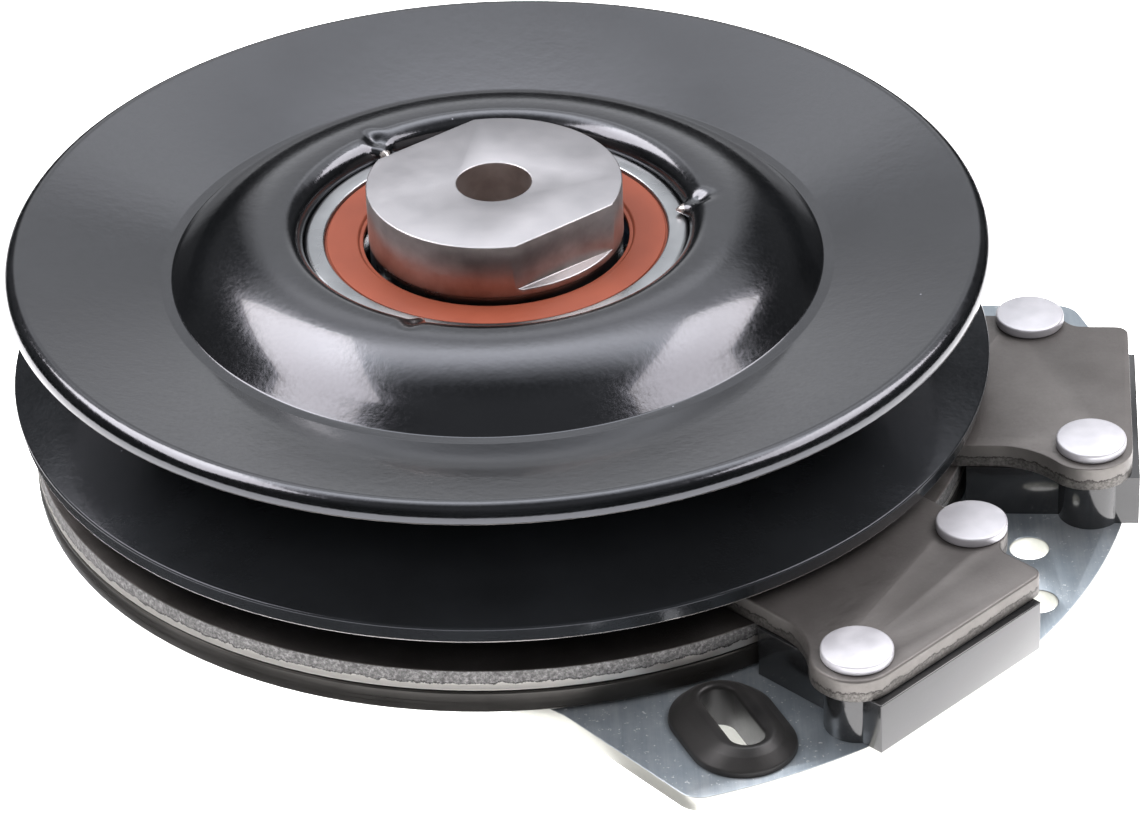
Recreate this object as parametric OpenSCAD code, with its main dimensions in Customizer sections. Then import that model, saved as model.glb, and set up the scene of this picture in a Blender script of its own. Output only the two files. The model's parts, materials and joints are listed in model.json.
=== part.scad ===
// Electromagnetic clutch-brake for a V-belt drive.
// The frame is +Z up along the shaft. The origin is on the shaft axis, at the engine end of the hub.
// A pulley turns on a ball bearing above the rotor. The coil pulls the armature down onto the rotor.
// With the coil off, permanent magnets pull the armature up against two fixed brake poles.

/* [Pulley] */
// Outer radius of both flanges
pulley_r = 79.375; // [79.375:0.125:81]
// Thickness of the pulley's pressed sheet
sheet_t = 3.1; // [2.9:0.1:3.2]
// Height of the upper flange's lower edge above the hub's engine end
upper_rim_z = 52; // [51.5:0.1:52.5]
// Height of the lower flange's lower edge
lower_rim_z = 30.15; // [29.8:0.05:30.6]
// Radius of the hump's foot on the upper flange
hump_foot_r = 51.85; // [51.5:0.05:52.3]
// Height of the hump's crest
crest_z = 58.4; // [58:0.1:58.8]
// Radius of the belt groove's floor, at the middle of its sheet
groove_r = 53.6; // [53:0.1:54.5]

/* [Hub and arbor] */
// Radius of the shaft bore, for a 1 1/8 inch crankshaft
shaft_r = 14.2875; // [14.2875, 12.7]
// Width of the keyway
key_w = 6.35; // [4.76:0.01:6.4]
// Depth of the shaft bore
shaft_depth = 31; // [28:0.5:32]
// Radius of the arbor's head
head_r = 20.53; // [20:0.05:21]
// Height of the top of the arbor's head
head_top_z = 64.5; // [63:0.1:66]
// Distance across the head's two flats
flats_w = 36.2; // [34:0.1:38]
// Direction that the first flat faces
flats_angle = -53; // [-180:1:180]
// Radius of the clamp bolt's hole
bolt_r = 6; // [5.6:0.05:6.5]

/* [Armature and rotor] */
// Outer radius of the armature and of the rotor
disc_r = 76.9; // [76:0.1:77]
// Height of the rotor's underside
rotor_z = 15.9; // [15.8:0.05:16]
// Thickness of the rotor's friction disc
rotor_t = 3.75; // [3.5:0.05:3.9]
// Thickness of the armature
armature_t = 3.7; // [3.5:0.05:3.8]
// Air gap between armature and rotor with the coil off
air_gap = 0.38; // [0.3:0.01:0.45]

/* [Mounting plate] */
// Radius of the plate's outer arc
plate_r = 103; // [102:0.1:106]
// Thickness of the plate
plate_t = 2.6; // [2.4:0.1:2.7]
// Direction of the middle of the plate's fan
fan_angle = -27.5; // [-90:0.5:90]
// Half of the fan's opening angle at its corners
fan_half = 47.5; // [47:0.1:48.5]
// Direction of the anti-rotation slot
slot_angle = -68; // [-69:0.5:-67]
// Distance of the slot's middle from the axis
slot_r = 89.5; // [89.5:0.1:90]

/* [Brake] */
// Thickness of a brake pole
pole_t = 4; // [3:0.1:4.2]
// Distance of a pole's outer edge from the axis
pole_edge = 102; // [101.5:0.1:102.5]
// Direction of the front pole
front_pole_angle = -46; // [-46.5:0.1:-45.5]
// Direction of the rear pole
rear_pole_angle = -5; // [-5.5:0.1:-4.5]
// Radius of a pole rivet's head
rivet_head_r = 5.6; // [5:0.1:5.8]

/* [Field] */
// Outer radius of the field shell
shell_r = 57; // [56.5:0.1:57]
// Wall of the field shell
shell_t = 3; // [2.8:0.1:3]

/* [Hidden] */
$fn = 96;
eps = 0.01;

// Heights that follow from the driving dimensions
rotor_top = rotor_z + rotor_t;
armature_z = rotor_top + air_gap;
armature_top = armature_z + armature_t;
brake_gap = 0.05;
pole_z = armature_top + brake_gap;
plate_top = rotor_z - 0.9;
plate_z = plate_top - plate_t;

// Pulley bearing, 30 x 62 x 16 mm
pb_bore_r = 15;
pb_outer_r = 31;
pb_z = 39.2;
pb_w = 16;
pb_pitch_r = 23.4;
pb_ball_r = 9.525 / 2;
pb_balls = 9;
pb_inner_land = 20.4;
pb_outer_land = 27.6;

// Field bearing, 40 x 62 x 12 mm
fb_bore_r = 20;
fb_outer_r = 31;
fb_z = 2.9;
fb_w = 12;
fb_pitch_r = 25.5;
fb_ball_r = 6.75 / 2;
fb_balls = 14;
fb_inner_land = 23.4;
fb_outer_land = 27.9;

// Retaining rings that hold the field bearing on the hub and in the shell
clip_t = 1.2;
clip_slack = 0.1;
clip_groove = 1;
clip_groove_w = clip_t + 2 * clip_slack;
clip_reach = 2.6;

race_gap = 0.15;
cage_back = 0.8;
seal_t = 1.2;
seal_inset = 0.3;
seal_lip_gap = 1;

// Rotor and coil
rotor_web_z = 18.4;
rotor_web_t = 3.8;
pole_ring_z = 8.5;
inner_pole_r = [35.1, 38.4];
outer_pole_r = [49.9, 53.1];
bobbin_r = [39, 49.3];
bobbin_z = [6.2, 15.3];
bobbin_wall = 1;
hub_shoulder_r = 22;
slot_w = 3;
slot_count = 6;
rotor_slot_r = [44.5, 65.5];
armature_slot_r = 55.5;
armature_bore_r = 39.5;

slot_size = [20, 10];

// Brake poles: places are [distance outward, distance along the pole's edge]
rivet_spots = [[95.4, -19.2], [85.9, 17.8]];
rivet_head_t = 1.6;
rivet_shank_r = 2.9;
post_r = 5.1;
block_r = 78.2;
bar_edge = 103.2;
pole_side = [-26.2, 16.4];
pole_inner_r = 70;
magnet_box = [81.5, 95, -13, 9];

// Rivets that join the field shell's flange to the plate
plate_rivet_count = 6;
plate_rivet_circle = 61.5;
plate_rivet_first = 0;
plate_rivet_r = 2;
flange_t = 2.4;

// Leaf springs
spring_t = 0.6;
spring_w = 11;
spring_r = 57;
spring_span = 40;
spring_count = 3;
spring_rivet_r = 2.5;
spring_rivet_head_r = 4.2;
spring_rivet_head_h = 1.1;
carrier_t = 2.5;
carrier_top = 43.2;
carrier_lip_r = 48;
carrier_z = 28.2;
carrier_wall_r = 38;
carrier_edge_r = 64;

// Stakes pressed into the cup's wall over the pulley bearing
stake_count = 3;
stake_angle = 6.5;

// ---------- helpers ----------

function unit(v) = v / norm(v);
function polar(r, a) = [r * cos(a), r * sin(a)];
function direction(v) = atan2(v.y, v.x);
function signed(a) = (a + 540) % 360 - 180;

// n steps round an arc from direction a to direction b, without its skip first and last points
function arc(centre, r, a, b, n, skip = 0) =
  [for (i = [skip:n - skip]) centre + polar(r, a + (b - a) * i / n)];

// Arc of radius r that rounds the corner b between a and c
function bend(a, b, c, r, n = 8) =
  let(u = unit(a - b), v = unit(c - b), half = acos(u * v) / 2)
  let(ctr = b + unit(u + v) * r / sin(half), p = b + u * r / tan(half), q = b + v * r / tan(half))
  let(start = direction(p - ctr), sweep = signed(direction(q - ctr) - start))
  arc(ctr, r, start, start + sweep, n);

function flat2(v) = [v.x, v.y];

// Open line that is rounded at its corners [x, y, bend radius], such as the middle of a bent sheet
function bent(c) = [
  flat2(c[0]),
  for (i = [1:len(c) - 2]) each bend(flat2(c[i - 1]), flat2(c[i]), flat2(c[i + 1]), c[i].z),
  flat2(c[len(c) - 1])
];

function side(p, i) =
  let(a = p[max(i - 1, 0)], b = p[min(i + 1, len(p) - 1)], d = unit(b - a)) [-d.y, d.x];

// Outline of a sheet of thickness t around a centre line
function sheet(p, t) = concat(
  [for (i = [0:len(p) - 1]) p[i] + side(p, i) * t / 2],
  [for (i = [len(p) - 1:-1:0]) p[i] - side(p, i) * t / 2]
);

module lathe_sheet(corners, t) {
  rotate_extrude() polygon(sheet(bent(corners), t));
}

module ring(r_in, r_out, z, h) {
  translate([0, 0, z]) difference() {
    cylinder(r = r_out, h = h);
    translate([0, 0, -1]) cylinder(r = r_in, h = h + 2);
  }
}

module around(count, r, first = 0) {
  for (i = [0:count - 1]) rotate(first + i * 360 / count) translate([r, 0, 0]) children();
}

// Curved slot with straight ends, centred on direction 0
module arc_slot(r, w, angle, z, h) {
  rotate(-angle / 2) rotate_extrude(angle = angle) translate([r - w / 2, z]) square([w, h]);
}

module obround(length, width) {
  offset_x = (length - width) / 2;
  polygon(concat(
    arc([offset_x, 0], width / 2, -90, 90, 24),
    arc([-offset_x, 0], width / 2, 90, 270, 24)
  ));
}

// ---------- bearings ----------

module bearing_ring(r_in, r_out, z, w, pitch_r, ball_r) {
  rotate_extrude() difference() {
    translate([r_in, z]) square([r_out - r_in, w]);
    translate([pitch_r, z + w / 2]) circle(r = ball_r + race_gap);
  }
}

module bearing_balls(count, pitch_r, ball_r, z) {
  around(count, pitch_r) translate([0, 0, z]) sphere(r = ball_r);
}

// Crown cage: a ring under the balls, with pockets that are open above them
module bearing_cage(count, pitch_r, ball_r, z) {
  wall = 1.1;
  pocket_r = ball_r + race_gap;
  difference() {
    ring(pitch_r - wall, pitch_r + wall, z - pocket_r - cage_back, 1.5 * pocket_r + cage_back);
    around(count, pitch_r) translate([0, 0, z]) sphere(r = pocket_r);
  }
}

// A flat seal, stepped down along both edges; up is 1 for the upper seal, -1 for the lower
module bearing_seal(r_in, r_out, z, up) {
  lip_w = 0.9;
  edge_w = 0.35;
  step = 0.35;
  rotate_extrude() translate([0, z]) mirror([0, up < 0 ? 1 : 0]) polygon([
    [r_in, -seal_t], [r_out, -seal_t], [r_out, -step], [r_out - edge_w, -step],
    [r_out - edge_w, 0], [r_in + lip_w, 0], [r_in + lip_w, -step], [r_in, -step]
  ]);
}

module pulley_bearing_outer_ring() {
  color("gainsboro") bearing_ring(pb_outer_land, pb_outer_r, pb_z, pb_w, pb_pitch_r, pb_ball_r);
}

module pulley_bearing_inner_ring() {
  color("gainsboro") bearing_ring(pb_bore_r, pb_inner_land, pb_z, pb_w, pb_pitch_r, pb_ball_r);
}

module pulley_bearing_balls() {
  color("silver") bearing_balls(pb_balls, pb_pitch_r, pb_ball_r, pb_z + pb_w / 2);
}

module pulley_bearing_cage() {
  color("dimgray") bearing_cage(pb_balls, pb_pitch_r, pb_ball_r, pb_z + pb_w / 2);
}

module pulley_bearing_seal_upper() {
  color("sienna")
    bearing_seal(pb_inner_land + seal_lip_gap, pb_outer_land, pb_z + pb_w - seal_inset, 1);
}

module pulley_bearing_seal_lower() {
  color("sienna") bearing_seal(pb_inner_land + seal_lip_gap, pb_outer_land, pb_z + seal_inset, -1);
}

module field_bearing_outer_ring() {
  color("gainsboro") bearing_ring(fb_outer_land, fb_outer_r, fb_z, fb_w, fb_pitch_r, fb_ball_r);
}

module field_bearing_inner_ring() {
  color("gainsboro") bearing_ring(fb_bore_r, fb_inner_land, fb_z, fb_w, fb_pitch_r, fb_ball_r);
}

module field_bearing_balls() {
  color("silver") bearing_balls(fb_balls, fb_pitch_r, fb_ball_r, fb_z + fb_w / 2);
}

module field_bearing_cage() {
  color("dimgray") bearing_cage(fb_balls, fb_pitch_r, fb_ball_r, fb_z + fb_w / 2);
}

module field_bearing_seal_upper() {
  color("sienna")
    bearing_seal(fb_inner_land + seal_lip_gap / 2, fb_outer_land, fb_z + fb_w - seal_inset, 1);
}

module field_bearing_seal_lower() {
  color("sienna")
    bearing_seal(fb_inner_land + seal_lip_gap / 2, fb_outer_land, fb_z + seal_inset, -1);
}

// ---------- pulley ----------

cup_wall_r = pb_outer_r + sheet_t / 2;
cup_floor_z = pb_z - sheet_t / 2;
crest_mid_z = crest_z - sheet_t / 2;
shoulder_r = hump_foot_r - 8.85;
plateau_z = upper_rim_z - 7.25;
lower_cone_rise = 5.2;
flange_slope = 0.2;
// The rim's end is square to the sloping sheet, so its corner stands out by this much
rim_tilt = flange_slope * sheet_t / 2;
// A narrow flat ledge runs round the hump's foot, at the flange's inner end
ledge_r = hump_foot_r + 2.55;
ledge_z = upper_rim_z + sheet_t / 2 - flange_slope * (pulley_r - ledge_r);

// Upper flange, hump and bearing cup, pressed from one sheet, with three stakes over the bearing
module pulley_upper_half() {
  ledge_bend = 3;
  foot_bend = 2.1;
  hump_bend = 17;
  cup_lip_bend = 2.1;
  cup_floor_bend = 1.6;
  cup_floor_r = pb_outer_land - 0.1;
  stake_r = 1.5;
  stake_z = pb_z + pb_w + stake_r;
  color("#1b1b1e") {
    lathe_sheet([
      [pulley_r - rim_tilt, upper_rim_z + sheet_t / 2],
      [ledge_r, ledge_z, ledge_bend],
      [hump_foot_r, ledge_z, foot_bend],
      [shoulder_r, crest_mid_z, hump_bend],
      [cup_wall_r, crest_mid_z, cup_lip_bend],
      [cup_wall_r, cup_floor_z, cup_floor_bend],
      [cup_floor_r, cup_floor_z]
    ], sheet_t);
    around(stake_count, pb_outer_r, stake_angle) translate([0, 0, stake_z]) sphere(r = stake_r);
  }
}

// Lower flange, groove floor and the flat web that is welded to the bearing cup
module pulley_lower_half() {
  rim_mid_z = lower_rim_z + sheet_t / 2;
  groove_bend = 2.4;
  color("#1b1b1e") lathe_sheet([
    [pulley_r - rim_tilt, rim_mid_z],
    [groove_r, rim_mid_z + lower_cone_rise, groove_bend],
    [groove_r, plateau_z, groove_bend],
    [cup_wall_r + sheet_t / 2, plateau_z]
  ], sheet_t);
}

// Channel-shaped ring under the pulley that carries the leaf springs
module spring_carrier() {
  carrier_bend = 2;
  color("#3a3a3c") difference() {
    lathe_sheet([
      [carrier_lip_r, carrier_top - carrier_t / 2],
      [carrier_wall_r, carrier_top - carrier_t / 2, carrier_bend],
      [carrier_wall_r, carrier_z, carrier_bend],
      [carrier_edge_r, carrier_z]
    ], carrier_t);
    around(spring_count, spring_r) cylinder(r = spring_rivet_r, h = carrier_top);
  }
}

// ---------- armature and its springs ----------

spring_top = carrier_z - carrier_t / 2;
spring_chord = 2 * spring_r * sin(spring_span / 2);
spring_pad = 9;

// One strip: flat under the carrier, sloping down, then flat on the armature
module leaf_spring() {
  lo = armature_top;
  hi = spring_top - spring_t;
  x0 = -spring_pad / 2;
  x1 = spring_pad / 2;
  x2 = spring_chord - spring_pad / 2;
  x3 = spring_chord + spring_pad / 2;
  top = [[x0, hi + spring_t], [x1, hi + spring_t], [x2, lo + spring_t], [x3, lo + spring_t]];
  bottom = [[x3, lo], [x2, lo], [x1, hi], [x0, hi]];
  difference() {
    translate([0, spring_w / 2, 0]) rotate([90, 0, 0])
      linear_extrude(spring_w) polygon(concat(top, bottom));
    for (x = [0, spring_chord]) translate([x, 0, 0]) cylinder(r = spring_rivet_r, h = carrier_top);
  }
}

module leaf_springs() {
  color("silver") around(spring_count, spring_r) rotate(90 + spring_span / 2) leaf_spring();
}

module spring_rivet_head(z) {
  translate([0, 0, z]) cylinder(r = spring_rivet_head_r, h = spring_rivet_head_h);
}

module carrier_rivets() {
  spring_low = spring_top - spring_t;
  color("gainsboro") around(spring_count, spring_r) {
    spring_rivet_head(spring_low - spring_rivet_head_h);
    translate([0, 0, spring_low]) cylinder(r = spring_rivet_r, h = carrier_t + spring_t);
    spring_rivet_head(spring_top + carrier_t);
  }
}

module armature_rivets() {
  recess = 0.3;
  shank_h = armature_t - recess + spring_t;
  color("gainsboro") around(spring_count, spring_r, spring_span) {
    translate([0, 0, armature_z + recess]) cylinder(r = spring_rivet_r, h = shank_h);
    spring_rivet_head(armature_top + spring_t);
  }
}

// Friction ring with slots between the places where the springs are riveted on
module armature_plate() {
  slot_span = 18;
  slot_from_rivet = 35;
  color("#6f6c6a") difference() {
    ring(armature_bore_r, disc_r, armature_z, armature_t);
    around(spring_count, spring_r, spring_span)
      translate([0, 0, armature_z - 1]) cylinder(r = spring_rivet_r, h = armature_t + 2);
    for (i = [0:spring_count - 1], s = [-1, 1])
      rotate(spring_span + i * 360 / spring_count + s * slot_from_rivet)
        arc_slot(armature_slot_r, slot_w, slot_span, armature_z - 1, armature_t + 2);
  }
}

// ---------- rotor, hub and arbor ----------

// Friction disc with two pole rings that reach down on either side of the coil
module rotor_disc() {
  bridge_span = 14;
  web_top = rotor_web_z + rotor_web_t;
  color("#4b4846") difference() {
    rotate_extrude() polygon([
      [hub_shoulder_r, rotor_web_z],
      [inner_pole_r[0], rotor_web_z],
      [inner_pole_r[0], pole_ring_z],
      [inner_pole_r[1], pole_ring_z],
      [inner_pole_r[1], rotor_z],
      [outer_pole_r[0], rotor_z],
      [outer_pole_r[0], pole_ring_z],
      [outer_pole_r[1], pole_ring_z],
      [outer_pole_r[1], rotor_z],
      [disc_r, rotor_z],
      [disc_r, rotor_top],
      [inner_pole_r[1], rotor_top],
      [inner_pole_r[1], web_top],
      [hub_shoulder_r, web_top]
    ]);
    for (r = rotor_slot_r, i = [0:slot_count - 1]) rotate(i * 360 / slot_count)
      arc_slot(r, slot_w, 360 / slot_count - bridge_span, rotor_z - 1, rotor_t + 2);
  }
}

module rotor_hub() {
  keyway_r = shaft_r + 0.46 * key_w;
  color("silver") difference() {
    union() {
      cylinder(r = fb_bore_r, h = fb_z + fb_w + eps);
      translate([0, 0, fb_z + fb_w]) cylinder(r = hub_shoulder_r, h = pb_z - fb_z - fb_w);
    }
    translate([0, 0, -1]) cylinder(r = shaft_r, h = shaft_depth + 1);
    translate([0, 0, shaft_depth]) cylinder(r = pb_bore_r, h = pb_z);
    translate([0, -key_w / 2, -1]) cube([keyway_r, key_w, shaft_depth + 1]);
    ring(fb_bore_r - clip_groove, fb_bore_r + 1, fb_z - clip_groove_w, clip_groove_w);
  }
}

// Head with two flats above a thin collar, a journal for the pulley bearing, and a bolt hole
module arbor() {
  collar_h = 1.3;
  head_z = pb_z + pb_w;
  color("silver") difference() {
    union() {
      translate([0, 0, head_z]) cylinder(r = head_r, h = head_top_z - head_z);
      translate([0, 0, shaft_depth]) cylinder(r = pb_bore_r, h = head_z - shaft_depth + eps);
    }
    translate([0, 0, shaft_depth - 1]) cylinder(r = bolt_r, h = head_top_z);
    for (a = [0, 180]) rotate(flats_angle + a)
      translate([flats_w / 2, -head_r, head_z + collar_h]) cube([head_r, 2 * head_r, head_top_z]);
  }
}

module hub_retaining_ring() {
  gap_w = 5;
  color("dimgray") difference() {
    ring(fb_bore_r - clip_groove, fb_bore_r + clip_reach, fb_z - clip_slack - clip_t, clip_t);
    translate([0, -gap_w / 2, 0]) cube([fb_bore_r * 2, gap_w, fb_z]);
  }
}

// ---------- field ----------

// Cup with a rounded bottom edge. The boss's lip over the bearing is left by the bore's depth.
module field_shell() {
  floor_z = [3.4, 6.2];
  floor_bend = 3;
  inner_r = shell_r - shell_t - 0.4;
  boss_z = [1.2, fb_z + fb_w + 0.4];
  boss_r = fb_outer_r + 3.6;
  lip_r = fb_outer_r - 1.5;
  flange_r = 66;
  corner = [shell_r, floor_z[0]];
  rim = [shell_r, plate_top];
  color("#b9bcc0") difference() {
    union() {
      rotate_extrude() polygon([
        [boss_r, floor_z[0]],
        each bend([boss_r, floor_z[0]], corner, rim, floor_bend),
        rim,
        [inner_r, plate_top],
        [inner_r, floor_z[1]],
        [boss_r, floor_z[1]]
      ]);
      ring(shell_r - 1, flange_r, plate_z - flange_t, flange_t);
      ring(lip_r, boss_r, boss_z[0], boss_z[1] - boss_z[0]);
    }
    translate([0, 0, -1]) cylinder(r = fb_outer_r, h = fb_z + fb_w + 1);
    translate([0, 0, fb_z - clip_groove_w])
      cylinder(r = fb_outer_r + clip_groove, h = clip_groove_w);
    plate_rivet_places() cylinder(r = plate_rivet_r, h = plate_z);
  }
}

module shell_retaining_ring() {
  gap_w = 8;
  gap_angle = 150;
  color("dimgray") difference() {
    ring(fb_outer_r - clip_reach, fb_outer_r + clip_groove, fb_z - clip_slack - clip_t, clip_t);
    rotate(gap_angle) translate([0, -gap_w / 2, 0]) cube([fb_outer_r * 2, gap_w, fb_z]);
  }
}

module coil_bobbin() {
  h = bobbin_z[1] - bobbin_z[0];
  color("#23324a") difference() {
    ring(bobbin_r[0], bobbin_r[1], bobbin_z[0], h);
    ring(bobbin_r[0] + bobbin_wall, bobbin_r[1] + 1, bobbin_z[0] + bobbin_wall, h - 2 * bobbin_wall);
  }
}

module coil_winding() {
  color("#9a5a2c") ring(bobbin_r[0] + bobbin_wall, bobbin_r[1] - 0.3, bobbin_z[0] + bobbin_wall,
    bobbin_z[1] - bobbin_z[0] - 2 * bobbin_wall);
}

// Two-blade socket on the outside of the shell, open away from the axis
socket_angle = 90;
socket_size = [18, 16, 6.4];
socket_wall = 0.9;
socket_z = 3.5;
socket_back_r = shell_r + 3;

module lead_socket() {
  color("#202022") rotate(socket_angle) difference() {
    translate([shell_r - 1, -socket_size.y / 2, socket_z]) cube(socket_size);
    cylinder(r = shell_r, h = plate_z);
    translate([socket_back_r, socket_wall - socket_size.y / 2, socket_z + socket_wall])
      cube([socket_size.x, socket_size.y - 2 * socket_wall, socket_size.z - 2 * socket_wall]);
  }
}

module socket_pins() {
  blade = [10, 0.8, 3];
  blade_offset = 3.6;
  blade_z = socket_z + (socket_size.z - blade.z) / 2;
  color("goldenrod") rotate(socket_angle) for (s = [-1, 1])
    translate([socket_back_r - eps, s * blade_offset - blade.y / 2, blade_z]) cube(blade);
}

module plate_rivet_places() {
  around(plate_rivet_count, plate_rivet_circle, plate_rivet_first) children();
}

module plate_rivets() {
  head_r = 3.6;
  head_h = 1.2;
  flange_z = plate_z - flange_t;
  color("silver") plate_rivet_places() {
    translate([0, 0, flange_z - head_h]) cylinder(r = head_r, h = head_h);
    translate([0, 0, flange_z - eps]) cylinder(r = plate_rivet_r, h = plate_top - flange_z);
  }
}

// ---------- mounting plate ----------

// The fan's straight sides lean in by side_lean from the radial direction of the fan's middle
side_lean = 23.1;
corner_r = 4;
root_r = 71.5;
fillet_r = 19;
fan_corner = polar(plate_r, -fan_half);
fan_dir = [-cos(side_lean), sin(side_lean)];
fan_in = [-fan_dir.y, fan_dir.x] * -1;

// Point at distance d inside the fan's side, on a circle of radius r about the axis
function on_side(d, r) =
  let(c = fan_corner + fan_in * d, b = c * fan_dir, q = sqrt(b * b - c * c + r * r))
  c + fan_dir * (-b - q);

// One side of the plate from the fan's outer corner to the root, with the corner and the inner fillet
corner_centre = on_side(corner_r, plate_r - corner_r);
fillet_centre = on_side(-fillet_r, root_r + fillet_r);
corner_angle = direction(corner_centre);
fillet_angle = direction(fillet_centre);
plate_side = concat(
  arc(corner_centre, corner_r, corner_angle, -90 - side_lean, 8),
  arc(fillet_centre, fillet_r, 90 - side_lean, fillet_angle + 180, 8)
);

module plate_outline() {
  last = len(plate_side) - 1;
  polygon(concat(
    plate_side,
    arc([0, 0], root_r, fillet_angle, -360 - fillet_angle, 96, 1),
    [for (i = [last:-1:0]) [plate_side[i].x, -plate_side[i].y]],
    arc([0, 0], plate_r, -corner_angle, corner_angle, 64, 1)
  ));
}

module mounting_plate() {
  hole_r = 3.1;
  holes = [[82.8, -37], [82.8, -51.7]];
  color("#a9b4c0") difference() {
    translate([0, 0, plate_z]) rotate(fan_angle) linear_extrude(plate_t) plate_outline();
    cylinder(r = shell_r, h = plate_top + 1);
    plate_rivet_places() cylinder(r = plate_rivet_r, h = plate_top + 1);
    for (p = holes) translate(p) cylinder(r = hole_r, h = plate_top + 1);
    rotate(slot_angle) translate([slot_r, 0, plate_z - 1])
      linear_extrude(plate_t + 2) obround(slot_size.x, slot_size.y);
    for (a = [front_pole_angle, rear_pole_angle], s = rivet_spots)
      rotate(a) translate(s) cylinder(r = rivet_shank_r, h = plate_top + 1);
  }
}

// Rubber grommet in the anti-rotation slot
module slot_grommet() {
  foot = [24.2, 16.8];
  crown = [21, 13];
  opening = [15.6, 5.4];
  lip = [23, 13];
  foot_h = 1.4;
  crown_h = 2.1;
  lip_h = 1.5;
  color("#2a2a2c") rotate(slot_angle) translate([slot_r, 0, 0]) difference() {
    union() {
      translate([0, 0, plate_z - lip_h]) linear_extrude(lip_h) obround(lip.x, lip.y);
      translate([0, 0, plate_z - eps])
        linear_extrude(plate_t + 2 * eps) obround(slot_size.x, slot_size.y);
      translate([0, 0, plate_top]) linear_extrude(foot_h) obround(foot.x, foot.y);
      translate([0, 0, plate_top + foot_h - eps]) linear_extrude(crown_h) obround(crown.x, crown.y);
    }
    translate([0, 0, plate_z - lip_h - 1]) linear_extrude(plate_t + 9) obround(opening.x, opening.y);
  }
}

// ---------- brake ----------

// Flat pole: a lobe round each rivet, a hollow neck beside the front rivet and a round inner edge
module pole_outline() {
  neck_side = -19.6;
  neck_end = 85.9;
  neck_r = 12.5;
  lobe_start = 91.9;
  lobe_r = 6.5;
  heel_r = 2;
  tab_start = 93;
  tab_end = 90.5;
  tab_side = 19.6;
  tab_r = 3;
  difference() {
    union() {
      polygon(bent([
        [0, neck_side],
        [neck_end, neck_side, neck_r],
        [lobe_start, pole_side[0], lobe_r],
        [pole_edge, pole_side[0], lobe_r],
        [pole_edge, pole_side[1], heel_r],
        [tab_start, pole_side[1], tab_r],
        [tab_end, tab_side, tab_r],
        [0, tab_side]
      ]));
      translate(rivet_spots[1]) circle(r = rivet_head_r);
    }
    circle(r = pole_inner_r);
  }
}

module brake_pole(angle) {
  color("#6b6664") rotate(angle) translate([0, 0, pole_z]) difference() {
    linear_extrude(pole_t) pole_outline();
    for (s = rivet_spots) translate([s.x, s.y, -1]) cylinder(r = rivet_shank_r, h = pole_t + 2);
  }
}

// Moulded block between plate and pole: two posts, an outer bar and a pocket for the magnet
module magnet_holder(angle) {
  body_y = [-20, 15];
  bar_x = 97;
  bar_y = [-22.4, 14.2];
  h = pole_z - plate_top;
  color("#1d1d20") rotate(angle) translate([0, 0, plate_top]) difference() {
    linear_extrude(h) difference() {
      union() {
        translate([0, body_y[0]]) square([bar_x + eps, body_y[1] - body_y[0]]);
        translate([bar_x, bar_y[0]]) square([bar_edge - bar_x, bar_y[1] - bar_y[0]]);
        for (s = rivet_spots) translate(s) circle(r = post_r);
      }
      circle(r = block_r);
    }
    translate([magnet_box[0], magnet_box[2], -1])
      cube([magnet_box[1] - magnet_box[0], magnet_box[3] - magnet_box[2], h + 2]);
    for (s = rivet_spots) translate([s.x, s.y, -1]) cylinder(r = rivet_shank_r, h = h + 2);
  }
}

module brake_magnet(angle) {
  color("#303030") rotate(angle) translate([magnet_box[0], magnet_box[2], plate_top])
    cube([magnet_box[1] - magnet_box[0], magnet_box[3] - magnet_box[2], pole_z - plate_top]);
}

module brake_pole_front() {
  brake_pole(front_pole_angle);
}

module brake_pole_rear() {
  brake_pole(rear_pole_angle);
}

module magnet_holder_front() {
  magnet_holder(front_pole_angle);
}

module magnet_holder_rear() {
  magnet_holder(rear_pole_angle);
}

module brake_magnet_front() {
  brake_magnet(front_pole_angle);
}

module brake_magnet_rear() {
  brake_magnet(rear_pole_angle);
}

module pole_rivets() {
  pole_top = pole_z + pole_t;
  tail_r = 4.4;
  tail_h = 1.8;
  color("whitesmoke") for (a = [front_pole_angle, rear_pole_angle], s = rivet_spots)
    rotate(a) translate(s) {
      translate([0, 0, pole_top]) cylinder(r = rivet_head_r, h = rivet_head_t);
      translate([0, 0, plate_z - eps]) cylinder(r = rivet_shank_r, h = pole_top - plate_z + 2 * eps);
      translate([0, 0, plate_z - tail_h]) cylinder(r = tail_r, h = tail_h);
    }
}

mounting_plate();
field_shell();
coil_bobbin();
coil_winding();
lead_socket();
socket_pins();
field_bearing_outer_ring();
field_bearing_seal_upper();
field_bearing_seal_lower();
shell_retaining_ring();
slot_grommet();
brake_pole_front();
brake_pole_rear();
magnet_holder_front();
magnet_holder_rear();
brake_magnet_front();
brake_magnet_rear();
pole_rivets();
plate_rivets();
rotor_disc();
rotor_hub();
arbor();
field_bearing_inner_ring();
hub_retaining_ring();
pulley_bearing_inner_ring();
field_bearing_balls();
field_bearing_cage();
pulley_bearing_balls();
pulley_bearing_cage();
pulley_upper_half();
pulley_lower_half();
spring_carrier();
pulley_bearing_outer_ring();
pulley_bearing_seal_upper();
pulley_bearing_seal_lower();
leaf_springs();
carrier_rivets();
armature_plate();
armature_rivets();
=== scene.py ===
import json
import math

import bmesh
import bpy
from mathutils import Matrix, Vector


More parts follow.
